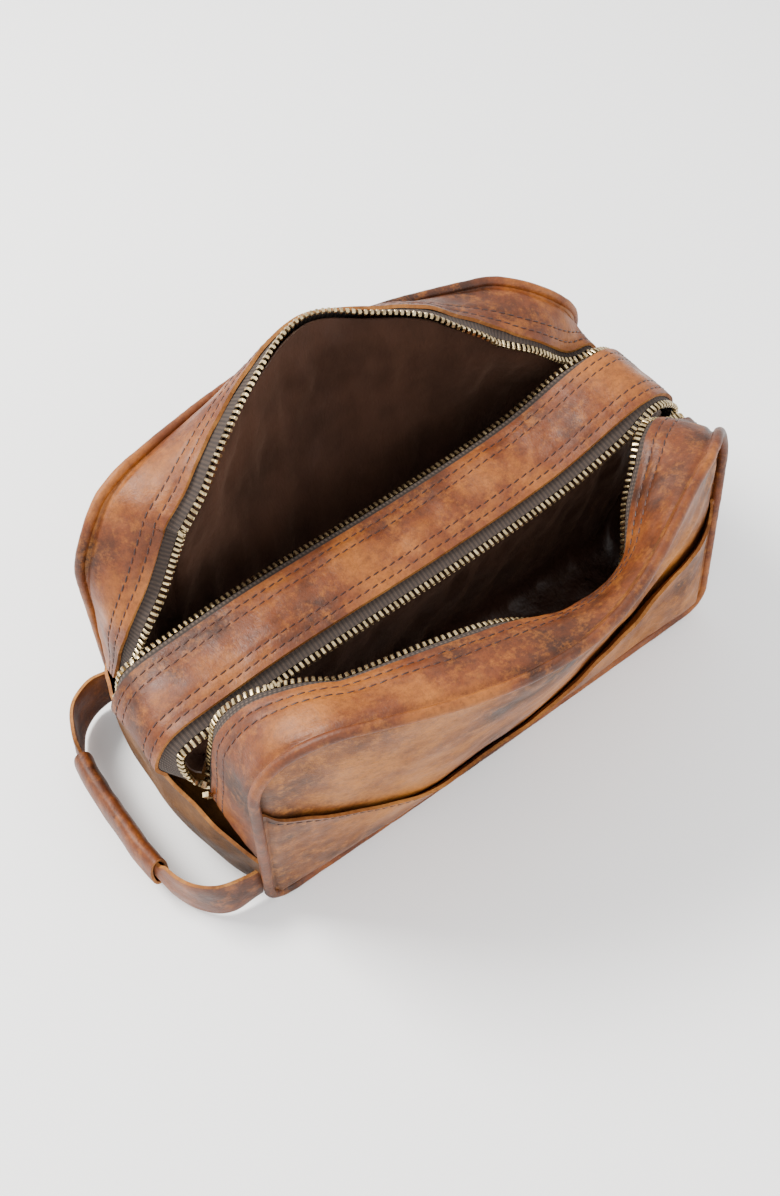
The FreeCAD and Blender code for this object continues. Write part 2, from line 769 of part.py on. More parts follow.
sides = {"front": -1, "rear": 1}
for name, side in sides.items():
    save(name + "_panel", wall_sheet(side))
    save(name + "_piping", piping(side))
    save(name + "_strip", outer_strip(side))
save("front_pocket", pocket_sheet())
save("middle_strip", middle_strip())
save("end_piece", sheet(end_piece(), leather))
for name, side in sides.items():
    stops = []
    for place, outer in (("outer", True), ("inner", False)):
        save("%s_zip_%s_tape" % (name, place), tape_sheet(side, outer))
        row, stop = teeth(side, outer)
        save("%s_zip_%s_teeth" % (name, place), row)
        stops.append(stop)
    save(name + "_zip_top_stops", Part.makeCompound(stops))
    save(name + "_zip_bottom_stop", bottom_stop(side))
    save(name + "_zip_slider", slider(side))
    save(name + "_zip_pull", pull(side))
    save(name + "_lining", lining_sack(side))
save("handle_strap", strap())
save("handle_grip", grip())
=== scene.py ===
# %% [markdown]
# # A leather shaving kit bag
# The bag stands open and slack, with two zipped compartments, a front pocket and a carrying
# handle on its left end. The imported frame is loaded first, because every visible piece is
# placed in its coordinates and moves with its bodies.

# %% Load the frame
import bpy
import math
from mathutils import Matrix, Vector, noise


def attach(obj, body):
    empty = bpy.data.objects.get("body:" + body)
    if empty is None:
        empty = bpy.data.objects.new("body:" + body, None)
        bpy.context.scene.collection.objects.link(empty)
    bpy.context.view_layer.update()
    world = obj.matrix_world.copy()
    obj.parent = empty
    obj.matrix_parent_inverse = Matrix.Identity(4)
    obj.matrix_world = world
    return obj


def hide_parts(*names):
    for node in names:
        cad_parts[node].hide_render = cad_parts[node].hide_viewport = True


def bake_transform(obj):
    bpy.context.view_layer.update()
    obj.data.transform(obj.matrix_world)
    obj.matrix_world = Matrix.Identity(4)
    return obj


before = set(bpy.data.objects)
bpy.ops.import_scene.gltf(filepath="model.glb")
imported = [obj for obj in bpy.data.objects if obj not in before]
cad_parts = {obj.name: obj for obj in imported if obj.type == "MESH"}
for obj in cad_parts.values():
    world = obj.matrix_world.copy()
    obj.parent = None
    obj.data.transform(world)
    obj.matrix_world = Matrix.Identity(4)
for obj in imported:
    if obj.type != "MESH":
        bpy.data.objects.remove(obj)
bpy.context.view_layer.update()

# %% [markdown]
# ## Sizes
# All shapes are worked out in millimetres and turned into metres when a mesh is made. The
# pieces that a person would measure with a ruler are named here.

# %% Sizes
MM = 0.001
width, depth, height = 265.0, 133.0, 140.0
corner_top, corner_base = 39.0, 12.0
leather, lining, piping_r = 1.6, 0.8, 2.4
strip_width, mid_width = 30.0, 35.0
seam_height, seam_rise = 40.0, 27.0
left_bulge, right_bulge = 15.0, 2.0
tape, tape_hidden, tape_shown, tape_shown_end = 0.7, 6.0, 5.0, 2.0
tape_gap, pocket_gap, gap = 0.35, 0.6, 0.2
tooth_pitch, tooth_along, tooth_across, tooth_thick = 2.7, 1.4, 3.4, 2.4
row_spacing, mid_shift = 3.0, 2.5
stitch_pitch, stitch_length, stitch_thick = 4.3, 3.3, 0.75
stitch_rows = (4.0, 9.0)
handle_height, handle_reach, handle_half = 17.0, 34.0, 62.5
strap_width, strap_end_width, strap_thick = 28.0, 24.0, 2.4
grip_height, grip_thick, grip_start = 23.0, 9.0, 50.0
half = width / 2
end_x = half + right_bulge
end_low = seam_height + seam_rise - 4
row_centre = mid_width / 2 + tape_shown_end + tooth_across + row_spacing / 2
outer_turn = {-1: (18.0, 100.0, 0.785), 1: (24.0, 93.0, 0.80)}
mid_turn = (16.0, 104.0, 0.70)
print("body %.0f x %.0f x %.0f mm" % (width, depth, height))

# %% [markdown]
# ## Small curves
# A slack bag has no straight lines, so most of its lines are smooth curves through a few
# points. `ease` and `swell` make soft steps and soft bumps.


# %% Curve helpers
def mix(a, b, t):
    return a + (b - a) * t


def ease(t):
    t = max(0.0, min(1.0, t))
    return t * t * (3 - 2 * t)


def swell(x, centre, left, right):
    """Bump of height 1 at `centre` that reaches zero `left` and `right` of it."""
    d = abs(x - centre) / (right if x > centre else left)
    return math.cos(math.pi / 2 * d) ** 1.3 if d < 1 else 0.0


def through(keys, t):
    """Value at `t` of a smooth curve through the (place, value) pairs."""
    if t <= keys[0][0]:
        return keys[0][1]
    if t >= keys[-1][0]:
        return keys[-1][1]
    i = max(k for k in range(len(keys) - 1) if keys[k][0] <= t)
    (t0, v0), (t1, v1) = keys[i], keys[i + 1]
    before = keys[i - 1] if i > 0 else keys[i]
    after = keys[i + 2] if i + 2 < len(keys) else keys[i + 1]
    span = t1 - t0
    m0 = (v1 - before[1]) / (t1 - before[0]) * span
    m1 = (after[1] - v0) / (after[0] - t0) * span
    u = (t - t0) / span
    return ((2 * u**3 - 3 * u**2 + 1) * v0 + (u**3 - 2 * u**2 + u) * m0
            + (3 * u**2 - 2 * u**3) * v1 + (u**3 - u**2) * m1)


def steps(n):
    return [i / n for i in range(n + 1)]


def ripple(p, size, height_mm):
    """Soft unevenness of leather or cloth, by place."""
    return height_mm * noise.noise(p / size)


def V(x, y, z):
    return Vector((x, y, z))


print("curves ready")

# %% [markdown]
# ## The slack shape
# Both walls lean outward in the middle, and they stay upright at the right end where the zips
# are held. `arch` runs along a wall's edge, `strip_way` gives the direction in which the top
# leather leaves it, and `mid_line` is the strip between the two zips.


# %% Walls and their edges
def lean(x, side):
    """Angle by which a wall leans outward at x."""
    u = x / half
    if side < 0:
        degrees = 15 * swell(u, -0.04, 1.02, 0.82) - 8 * ease((u - 0.72) / 0.3)
    else:
        degrees = 10 * swell(u, 0.04, 1.02, 0.75) - 9.5 * ease((u - 0.66) / 0.32)
        degrees -= 2 * ease((-u - 0.83) / 0.17)
    return math.radians(degrees)


def wall(x, h, side, proud=0.0):
    """Place on a wall, `h` up its leather from the base and `proud` out of it."""
    a = lean(x, side)
    belly = 4 * swell(x / half, -0.38, 0.6, 0.7) if side < 0 else 2 * swell(x / half, 0, 0.9, 0.9)
    out = h * math.sin(a) + belly * math.sin(math.pi * max(0, min(1, h / height))) + proud
    return V(x, side * (depth / 2 + out), h * math.cos(a))


arch_run = [height - corner_top - seam_height, math.pi / 2 * corner_top, width - 2 * corner_top]
arch_run += [arch_run[1], arch_run[0]]
arch_length = sum(arch_run)


def arch(t):
    """Place along the edge of a wall: up the left, over the top and down the right."""
    s = t * arch_length
    left = min(s, arch_length - s)
    mirror = -1 if s < arch_length / 2 else 1
    if left <= arch_run[0]:
        return mirror * half, seam_height + left
    left -= arch_run[0]
    if left <= arch_run[1]:
        a = left / corner_top
        return (mirror * (half - corner_top + corner_top * math.cos(a)),
                height - corner_top + corner_top * math.sin(a))
    return mirror * (half - corner_top - (left - arch_run[1])), height


def wall_edge(t, side):
    x, h = arch(t)
    return wall(x, h, side)


print("edge of a wall over the top: %.0f mm" % arch_length)

# %% [markdown]
# The droop tables say how far each outer strip sags below square. The front one sags between
# its corners. The rear one stands up along the middle.

# %% Top strips
front_droop = [(0, -8), (0.15, 3), (0.23, 24), (0.38, 12), (0.46, 17), (0.55, 43),
               (0.63, 57), (0.70, 34), (0.78, 22), (0.87, 2), (1, 2)]
rear_droop = [(0, -15), (0.12, 3), (0.19, 38), (0.26, 7), (0.31, -25), (0.38, -50),
              (0.48, -69), (0.56, -53), (0.63, -38), (0.67, -19), (0.73, 8), (0.79, 34),
              (0.87, 4), (1, 2)]
mid_x = [(0, -1.115), (0.03, -1.14), (0.065, -1.10), (0.10, -1.03), (0.15, -0.89),
         (0.25, -0.60), (0.45, 0.02), (0.60, 0.46), (0.74, 0.80), (0.80, 0.92), (0.87, 1.0)]
mid_z = [(0, 0.475), (0.03, 0.55), (0.065, 0.635), (0.10, 0.678), (0.15, 0.70),
         (0.25, 0.73), (0.45, 0.745), (0.60, 0.79), (0.74, 0.892), (0.80, 0.872), (0.87, 0.78)]


def strip_way(t, side):
    """Wall edge, direction across the strip to its zip, and outward normal."""
    p = wall_edge(t, side)
    along = (wall_edge(min(1, t + 0.004), side) - wall_edge(max(0, t - 0.004), side)).normalized()
    inward = V(0, -side, 0)
    inward = (inward - along * along.dot(inward)).normalized()
    up = along.cross(inward) if side < 0 else inward.cross(along)
    a = math.radians(through(front_droop if side < 0 else rear_droop, t))
    return p, inward * math.cos(a) - up * math.sin(a), up * math.cos(a) + inward * math.sin(a)


def end_line(t, y, turn):
    """A zip line at the right end: upright, then turning over the corner onto the top."""
    radius, start_z, speed = turn
    run = (1 - t) * arch_length * speed
    over = run - (start_z - end_low)
    if over <= 0:
        return V(end_x, y, end_low + run)
    a = min(over / radius, math.pi / 2)
    past = max(0, over - radius * math.pi / 2)
    return V(end_x - radius * (1 - math.cos(a)) - past, y, start_z + radius * math.sin(a))


def strip_edge(t, side):
    """Zip edge of an outer strip, evened out where it turns the right corner."""
    if not 0.62 < t < 0.80:
        return free_edge(t, side)
    spread = 0.022 * ease((t - 0.62) / 0.05) * ease((0.80 - t) / 0.04)
    near = [free_edge(t + spread * k, side) for k in (-1, -0.5, 0, 0.5, 1)]
    return sum(near, V(0, 0, 0)) / len(near)


def free_edge(t, side):
    """Zip edge as the slack strip gives it, before it is evened out."""
    p, way, up = strip_way(t, side)
    q = p + way * strip_width
    nearest = 2 * row_centre - mid_width / 2
    straight = end_line(t, side * nearest, outer_turn[side])
    if t < 0.12:
        q = q + V(0, 0, seam_rise * (1 - t / 0.12) * 0.9)
    if t > 0.6:
        room = abs(q.y) - nearest
        near = 1.5 * math.exp(-abs(room) / 3) * ease((t - 0.66) / 0.08)
        q.y = side * (nearest + max(room, 0) + near)
    return q + (straight - q) * ease((t - 0.775) / 0.085)


def mid_line(t, y):
    """Line along the middle strip, `y` from its centre."""
    shift = mid_shift * (1 - ease((t - 0.75) / 0.1))
    straight = end_line(t, 0, mid_turn)
    k = ease((t - 0.78) / 0.07)
    crown = 1.2 * (1 - (2 * y / mid_width) ** 2)
    return V(mix(through(mid_x, t) * half, straight.x, k), y - shift,
             mix(through(mid_z, t) * height + crown, straight.z, k))


print("zip edges run from z %.0f to %.0f mm" % (strip_edge(1, 1).z, strip_edge(0.48, 1).z))

# %% [markdown]
# ## Zip lines
# Each zip has two tapes. A tape starts under the leather, dips a little and ends at its teeth.
# The rows meet at the left end, where each zip has its top stops.

# %% Tape lines
closed_left = {-1: V(-half - 5.5, -35.5, 67), 1: V(-half - 13.5, 21, 68)}


def row_frame(t, side, outer):
    """Edge of the leather beside a zip, direction to the mouth, normal and dip angle."""
    def line(u):
        return strip_edge(u, side) if outer else mid_line(u, side * mid_width / 2)

    along = (line(min(1, t + 0.004)) - line(max(0, t - 0.004))).normalized()
    straight = ease((t - 0.775) / 0.085)
    way = V(0, side, 0)
    if outer:
        way = (strip_way(t, side)[1] * (1 - straight) + V(0, -side, 0) * straight).normalized()
    way = (way - along * along.dot(way)).normalized()
    up = along.cross(way) if way.y > 0 else way.cross(along)
    return line(t), way, up, math.radians((14 if outer else 22) * (1 - straight))


def tape_line(t, side, outer):
    """Points across a tape, from under the leather to its toothed edge, and its normal."""
    q, way, up, dip = row_frame(t, side, outer)
    q = q - up * (leather + tape_gap)
    shown = mix(tape_shown, tape_shown_end, ease((t - 0.69) / 0.08))
    edge = q + (way * math.cos(dip) - up * math.sin(dip)) * shown
    meet = closed_left[side] + V(0, (1 if outer else -1) * side * (tooth_across + 0.3), 0)
    edge = edge + (meet - edge) * (1 - ease(t / (0.05 if outer else 0.075)))
    return [q - way * tape_hidden, q - way * tape_hidden / 2, q, (q + edge) / 2, edge], up


print("left ends of the zips at x", [round(v.x) for v in closed_left.values()])

# %% [markdown]
# ## Materials
# Colours are written as hex values of the seen colour and converted once. Each material works
# at real scale, because its coordinates are metres on the bag.


# %% Material helpers
def seen(code):
    """Linear colour of an sRGB hex code."""
    parts = [int(code[i:i + 2], 16) / 255 for i in (1, 3, 5)]
    return tuple(c / 12.92 if c <= 0.04045 else ((c + 0.055) / 1.055) ** 2.4 for c in parts) + (1,)


def add(tree, kind, sockets=None, **props):
    """One shader node, with its properties and its sockets set or linked."""
    n = tree.nodes.new("ShaderNode" + kind)
    for key, value in props.items():
        setattr(n, key, value)
    for key, value in (sockets or {}).items():
        if isinstance(value, bpy.types.NodeSocket):
            tree.links.new(value, n.inputs[key])
        else:
            n.inputs[key].default_value = value
    return n


def ramp(tree, factor, stops):
    """Colour or grey level looked up between the stops."""
    n = add(tree, "ValToRGB", {"Fac": factor})
    line = n.color_ramp.elements
    while len(line) < len(stops):
        line.new(0.5)
    for e, (place, colour) in zip(line, stops):
        e.position = place
        e.color = seen(colour) if isinstance(colour, str) else (colour, colour, colour, 1)
    return n.outputs["Color"]


def fresh(name):
    """Empty material with one shader."""
    m = bpy.data.materials.new(name)
    m.use_nodes = True
    tree = m.node_tree
    tree.nodes.clear()
    shader = add(tree, "BsdfPrincipled")
    add(tree, "OutputMaterial", {"Surface": shader.outputs["BSDF"]})
    return m, tree, shader


def spots(tree, size_mm, detail=3.0, rough=0.55, stretch=(1, 1, 1)):
    """Noise whose features are about `size_mm` across."""
    place = add(tree, "TexCoord").outputs["Object"]
    scaled = add(tree, "Mapping", {"Vector": place, "Scale": stretch}).outputs["Vector"]
    n = add(tree, "TexNoise", {"Vector": scaled, "Scale": 1 / (size_mm * MM), "Detail": detail,
                               "Roughness": rough})
    return n.outputs["Fac"]


print("material helpers ready")

# %% [markdown]
# Waxed pull-up leather is blotchy. It is dark where the wax lies thick, and it turns light
# orange where it is bent or rubbed. The grain is a fine cell pattern that only shows as bump.


# %% Leather
def make_leather(name, dark, middle, light, dullness, rubbed):
    """Blotchy leather from three colours, how dull it is and how much of it is rubbed."""
    m, tree, shader = fresh(name)
    cloud = ramp(tree, spots(tree, 52, 5.0, 0.62), [(0.36, dark), (0.50, middle), (0.68, light)])
    scuff = ramp(tree, spots(tree, 9, 8.0, 0.8), [(0.50, 0.0), (0.62, 1.0)])
    rub = add(tree, "Math", {0: scuff, 1: rubbed}, operation="MULTIPLY").outputs[0]
    worn = add(tree, "Mix", {"Factor": rub, "A": cloud, "B": seen(light)}, data_type="RGBA")
    speck = ramp(tree, spots(tree, 2.2, 6.0, 0.8), [(0.34, 0.3), (0.56, 1.0)])
    tone = add(tree, "Mix", {"Factor": 0.55, "A": worn.outputs["Result"], "B": speck},
               data_type="RGBA", blend_type="MULTIPLY")
    tree.links.new(tone.outputs["Result"], shader.inputs["Base Color"])
    place = add(tree, "TexCoord").outputs["Object"]
    cells = add(tree, "TexVoronoi", {"Vector": place, "Scale": 1 / (1.5 * MM)},
                feature="DISTANCE_TO_EDGE").outputs["Distance"]
    grain = ramp(tree, cells, [(0.0, 0.0), (0.16, 1.0)])
    fine = add(tree, "Bump", {"Height": grain, "Strength": 0.22, "Distance": 0.12 * MM})
    soft = add(tree, "Bump", {"Height": spots(tree, 5, 5.0, 0.65), "Strength": 0.55,
                              "Distance": 0.7 * MM, "Normal": fine.outputs["Normal"]})
    tree.links.new(soft.outputs["Normal"], shader.inputs["Normal"])
    gloss = ramp(tree, spots(tree, 19, 5.0, 0.6), [(0.3, dullness - 0.08), (0.7, dullness + 0.16)])
    tree.links.new(gloss, shader.inputs["Roughness"])
    shader.inputs["IOR"].default_value = 1.5
    shader.inputs["Specular IOR Level"].default_value = 0.32
    return m


wall_leather = make_leather("wall leather", "#331A08", "#6A3A13", "#9E6226", 0.52, 0.6)
strip_leather = make_leather("strip leather", "#331707", "#643010", "#94561D", 0.47, 0.55)
# The end piece's leather is darker and greyer than the walls' leather: painted shade of the shaded
# left end panel.
end_leather_with_painted_shade = make_leather("end leather with painted shade", "#2C1809", "#523214", "#72491F", 0.55, 0.4)
handle_leather = make_leather("handle leather", "#361706", "#643110", "#8C4F1B", 0.47, 0.6)
cut_edge = make_leather("cut edge", "#5E3412", "#8C5524", "#B27A3C", 0.7, 0.6)
print("leathers made")

# %% [markdown]
# The lining is satin, the tapes are woven, the thread is waxed, and the teeth are antique
# brass that has been tumbled bright.


# %% Lining, tape, thread and metal
def make_satin():
    m, tree, shader = fresh("satin lining")
    tint = ramp(tree, spots(tree, 30, 3.0), [(0.3, "#2C1B13"), (0.7, "#412A1F")])
    tree.links.new(tint, shader.inputs["Base Color"])
    weave = spots(tree, 0.6, 2.0, 0.5, (1, 1, 0.2))
    creases = spots(tree, 9, 3.0, 0.5, (1, 1, 0.35))
    fine = add(tree, "Bump", {"Height": weave, "Strength": 0.12, "Distance": 0.1 * MM})
    folds = add(tree, "Bump", {"Height": creases, "Strength": 0.8, "Distance": 1.8 * MM,
                               "Normal": fine.outputs["Normal"]})
    tree.links.new(folds.outputs["Normal"], shader.inputs["Normal"])
    shader.inputs["Roughness"].default_value = 0.42
    shader.inputs["Sheen Weight"].default_value = 0.35
    shader.inputs["Sheen Tint"].default_value = seen("#8A6A58")
    return m


def make_tape():
    m, tree, shader = fresh("woven tape")
    across = add(tree, "TexCoord").outputs["UV"]
    ribs = add(tree, "TexWave", {"Vector": across, "Scale": 0.16 / MM}, bands_direction="X")
    lines = add(tree, "TexWave", {"Vector": across, "Scale": 0.22 / MM}, bands_direction="Y")
    both = add(tree, "Math", {0: ribs.outputs["Fac"], 1: lines.outputs["Fac"]},
               operation="MULTIPLY").outputs[0]
    tint = ramp(tree, both, [(0.0, "#241A15"), (1.0, "#54453A")])
    bump = add(tree, "Bump", {"Height": both, "Strength": 0.6, "Distance": 0.25 * MM})
    tree.links.new(tint, shader.inputs["Base Color"])
    tree.links.new(bump.outputs["Normal"], shader.inputs["Normal"])
    shader.inputs["Roughness"].default_value = 0.82
    return m


def make_thread():
    m, tree, shader = fresh("waxed thread")
    tint = ramp(tree, spots(tree, 6, 2.0), [(0.35, "#240C05"), (0.65, "#3C170A")])
    tree.links.new(tint, shader.inputs["Base Color"])
    shader.inputs["Roughness"].default_value = 0.5
    return m


def make_metal():
    m, tree, shader = fresh("antique brass")
    tint = ramp(tree, spots(tree, 3, 3.0), [(0.3, "#8D7A58"), (0.6, "#C9B48A"), (0.8, "#E2D3AE")])
    tree.links.new(tint, shader.inputs["Base Color"])
    rough = ramp(tree, spots(tree, 1.5, 3.0), [(0.3, 0.2), (0.7, 0.38)])
    tree.links.new(rough, shader.inputs["Roughness"])
    shader.inputs["Metallic"].default_value = 1.0
    return m


satin, woven, thread, brass = make_satin(), make_tape(), make_thread(), make_metal()
print("satin, tape, thread and brass made")

# %% [markdown]
# ## Making meshes
# A sheet is two matching grids of points joined round the rim. Its rim takes the second
# material, which is the raw cut edge on leather.


# %% Mesh builders
def finish_piece(name, points, faces, materials, body="bag", nodes=(), slot="leather",
                 shades=None, uvs=None, sharp=38):
    """One visible piece, in metres, riding on its body and standing for its nodes."""
    name = name.replace(" ", "_")
    mesh = bpy.data.meshes.new(name)
    mesh.from_pydata([p * MM for p in points], [], faces)
    for m in materials:
        mesh.materials.append(m)
    if shades:
        mesh.polygons.foreach_set("material_index", shades)
    mesh.polygons.foreach_set("use_smooth", [True] * len(faces))
    if uvs:
        layer = mesh.uv_layers.new(name="run")
        for corner in mesh.loops:
            layer.data[corner.index].uv = uvs[corner.vertex_index]
    mesh.update()
    mesh.set_sharp_from_angle(angle=math.radians(sharp))
    ob = bpy.data.objects.new(name, mesh)
    bpy.context.scene.collection.objects.link(ob)
    if body:
        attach(ob, body)
    if nodes:
        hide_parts(*nodes)
    return ob


def lengths(points):
    """Distance along a line of points up to each of them."""
    run = [0.0]
    for a, b in zip(points, points[1:]):
        run.append(run[-1] + (b - a).length)
    return run


def sheet(name, top, bottom, materials, run_uv=False, flip=False, **about):
    """Closed sheet between two grids of points."""
    rows, cols = len(top), len(top[0])
    layer = rows * cols
    points = [p for grid in (top, bottom) for row in grid for p in row]
    faces, shades = [], []
    for i in range(rows - 1):
        for j in range(cols - 1):
            a, b = i * cols + j, (i + 1) * cols + j
            faces.append((a, b, b + 1, a + 1))
            faces.append((layer + a, layer + a + 1, layer + b + 1, layer + b))
            shades += [0, 0]
    rim = [(0, j) for j in range(cols)] + [(i, cols - 1) for i in range(1, rows)]
    rim += [(rows - 1, j) for j in reversed(range(cols - 1))]
    rim += [(i, 0) for i in reversed(range(1, rows - 1))]
    rim = [i * cols + j for i, j in rim]
    for a, b in zip(rim, rim[1:] + rim[:1]):
        faces.append((a, b, layer + b, layer + a))
        shades.append(len(materials) - 1)
    if flip:
        faces = [tuple(reversed(f)) for f in faces]
    uvs = None
    if run_uv:
        down = lengths([row[-1] for row in top])
        over = lengths(top[0])
        uvs = [(down[i] * MM, over[j] * MM) for i in range(rows) for j in range(cols)] * 2
    return finish_piece(name, points, faces, materials, shades=shades, uvs=uvs, **about)


def normals(grid):
    """Normal of a grid of points at each of them."""
    rows, cols = len(grid), len(grid[0])
    out = []
    for i in range(rows):
        line = []
        for j in range(cols):
            du = grid[min(i + 1, rows - 1)][j] - grid[max(i - 1, 0)][j]
            dv = grid[i][min(j + 1, cols - 1)] - grid[i][max(j - 1, 0)]
            line.append(du.cross(dv).normalized())
        out.append(line)
    return out


def evenly(points, pitch):
    """Points `pitch` apart along a line, each with its direction and place on the line."""
    run = lengths(points)
    out, want, i = [], pitch / 2, 0
    while want < run[-1]:
        while run[i + 1] < want:
            i += 1
        k = (want - run[i]) / (run[i + 1] - run[i])
        way = (points[i + 1] - points[i]).normalized()
        out.append((points[i].lerp(points[i + 1], k), way, i, k))
        want += pitch
    return out


def copies(name, template, places, materials, **about):
    """One mesh made of a small template set at each (origin, along, across, up)."""
    small, cells = template
    points, faces = [], []
    for origin, along, across, up in places:
        first = len(points)
        points += [origin + along * p.x + across * p.y + up * p.z for p in small]
        faces += [tuple(first + i for i in f) for f in cells]
    finish_piece(name, points, faces, materials, **about)


print("mesh builders ready")

# %% [markdown]
# ## Stitches and teeth
# Both are small shapes repeated along a line. A stitch is a flattened bead of thread that sits
# in a dimple. A tooth is a bevelled block that grips the edge of the tape.


# %% Templates
def bead(long, wide, tall, rings=6, spokes=8):
    points = [V(-long / 2, 0, 0)]
    for i in range(1, rings):
        a = math.pi * i / rings
        for j in range(spokes):
            b = 2 * math.pi * j / spokes
            points.append(V(-long / 2 * math.cos(a), wide / 2 * math.sin(a) ** 0.6 * math.cos(b),
                            tall / 2 * math.sin(a) ** 0.6 * math.sin(b)))
    points.append(V(long / 2, 0, 0))
    faces = [(0, 1 + (j + 1) % spokes, 1 + j) for j in range(spokes)]
    for i in range(rings - 2):
        for j in range(spokes):
            a, b = 1 + i * spokes, 1 + (i + 1) * spokes
            k = (j + 1) % spokes
            faces.append((a + j, a + k, b + k, b + j))
    last = len(points) - 1
    a = 1 + (rings - 2) * spokes
    faces += [(last, a + j, a + (j + 1) % spokes) for j in range(spokes)]
    return points, faces


def tooth_shape():
    """Outline across the tooth, with a wider foot and a narrower nose, and bevelled edges."""
    outline = [(-0.9, 0.55), (0.3, 1.0), (0.62, 1.0), (0.8, 0.72), (1.0, 0.62)]
    points, rings = [], []
    for place, share in outline:
        y = tooth_across * (0.5 + place / 2) if place > 0 else tooth_across * 0.5 * (1 + place)
        t, w = tooth_thick / 2 * share, tooth_along / 2
        bevel = 0.28
        ring = [(-w + bevel, -t), (w - bevel, -t), (w, -t + bevel), (w, t - bevel),
                (w - bevel, t), (-w + bevel, t), (-w, t - bevel), (-w, -t + bevel)]
        rings.append(len(points))
        points += [V(x, y, z) for x, z in ring]
    faces = []
    for a, b in zip(rings, rings[1:]):
        for j in range(8):
            k = (j + 1) % 8
            faces.append((a + j, b + j, b + k, a + k))
    faces.append(tuple(rings[0] + j for j in range(8)))
    faces.append(tuple(rings[-1] + j for j in reversed(range(8))))
    return points, faces


stitch_shape = bead(stitch_length, stitch_thick, stitch_thick)
stitch_slant = math.radians(7)


def stitch_line(name, line, ups):
    """A row of stitches along a line of points that lie on a surface with those normals."""
    places = []
    for p, along, i, k in evenly(line, stitch_pitch):
        up = ups[i].lerp(ups[min(i + 1, len(ups) - 1)], k).normalized()
        across = up.cross(along).normalized()
        up = along.cross(across)
        leaning = along * math.cos(stitch_slant) + across * math.sin(stitch_slant)
        places.append((p + up * stitch_thick * 0.12, leaning, up.cross(leaning), up))
    copies(name, stitch_shape, places, [thread])


print("stitch and tooth shapes ready")

# %% [markdown]
# ## Walls, pocket and piping
# Each wall is a sheet with round corners that follows the slack shape. Its border dips into
# the seam beside the piping, and puckers a little there.

# %% Walls
bend = piping_r + gap + corner_base
wall_inset = 1.2


def outline(inset):
    """Rows of (height, half width, distance to the border) up a wall."""
    low, high = corner_base - inset, corner_top - inset
    rows = []
    for a in steps(10):
        a = mix(0.14, math.pi / 2, a)
        rows.append((bend - low * math.cos(a), half - corner_base + low * math.sin(a)))
    straight = height - corner_top - bend
    rows += [(bend + straight * k, half - inset) for k in steps(34)[1:-1]]
    for a in steps(22):
        a *= math.pi / 2 - 0.1
        rows.append((height - corner_top + high * math.sin(a),
                     half - corner_top + high * math.cos(a)))
    return rows


def border(x, h):
    """Distance in from the outline of a wall."""
    d = [half - abs(x), height - h, h - piping_r]
    corner = V(abs(x) - (half - corner_top), h - (height - corner_top), 0)
    if corner.x > 0 and corner.y > 0:
        d.append(corner_top - corner.length)
    return max(0.0, min(d))


def slack(x, h, side):
    """How far the leather of a wall stands out of the even shape."""
    d = border(x, h)
    seam = -1.7 * math.exp(-((d - 3.3) / 1.8) ** 2)
    pucker = ripple(V(x, h, side * 40), 9, 1.1) * math.exp(-d / 9)
    folds = ripple(V(x, h * 0.7, side * 90), 46, 3.2) + ripple(V(x, h, side * 17), 17, 0.7)
    if side < 0:
        ridge = (h - mix(62, 104, ease((x - 58) / 72))) / 5
        folds += 1.7 * math.exp(-ridge * ridge) * ease((x - 40) / 30)
    return seam + (pucker + folds) * ease(d / 14)


def wall_grid(side, proud):
    grid = []
    for h, w in outline(wall_inset):
        grid.append([wall(x, h, side, proud + slack(x, h, side))
                     for x in (mix(-w, w, c) for c in steps(150))])
    return grid


for name, side in (("front", -1), ("rear", 1)):
    sheet(name + " wall", wall_grid(side, 0), wall_grid(side, -leather),
          [wall_leather, cut_edge], nodes=[name + "_panel"], flip=side > 0)
print("walls made")

# %% [markdown]
# The pocket's top edge dips from both ends. It is a raw edge with one row of stitches, and it
# gapes a little towards the right.

# %% Pocket
pocket_edge = [(-1, 0.66), (-0.94, 0.60), (-0.84, 0.55), (-0.57, 0.37), (-0.30, 0.27),
               (0.04, 0.145), (0.18, 0.21), (0.32, 0.36), (0.63, 0.45), (0.85, 0.52), (1, 0.56)]
pocket_inset = 2.2
pocket_hem = 4.2


def pocket_top(x):
    return through(pocket_edge, x / half) * height


def pocket_point(x, h, proud):
    """Place on the pocket, which gapes a little at its top edge."""
    down = pocket_top(x) - h
    lip = 1.5 * math.exp(-down / 5) + 2.4 * swell(x / half, 0.62, 0.5, 0.4) * math.exp(-down / 12)
    hem = -0.35 * math.exp(-((down - pocket_hem) / 0.9) ** 2)
    lip *= ease(border(x, h) / 16)
    return wall(x, h, -1, slack(x, h, -1) + pocket_gap + proud + lip + hem)


def pocket_grid(proud):
    grid = []
    for h, w in [r for r in outline(pocket_inset) if r[0] < bend + 1]:
        grid.append([pocket_point(mix(-w, w, c), h, proud) for c in steps(180)])
    w = half - pocket_inset
    for k in steps(40)[1:]:
        k = 1 - (1 - k) ** 1.35
        grid.append([pocket_point(x, mix(bend, pocket_top(x), k), proud)
                     for x in (mix(-w, w, c) for c in steps(180))])
    return grid


sheet("front pocket", pocket_grid(leather), pocket_grid(0), [wall_leather, cut_edge],
      nodes=["front_pocket"])
seam = [pocket_point(x, pocket_top(x) - pocket_hem, leather)
        for x in (mix(-half + 4, half - 4, c) for c in steps(300))]
stitch_line("pocket stitches", seam, [V(0, -1, 0.25)] * len(seam))
print("pocket made")

# %% [markdown]
# Piping is a cord covered in leather, round both walls. A ridge of sewn leather lies inside it.


# %% Piping
piping_proud = 0.4


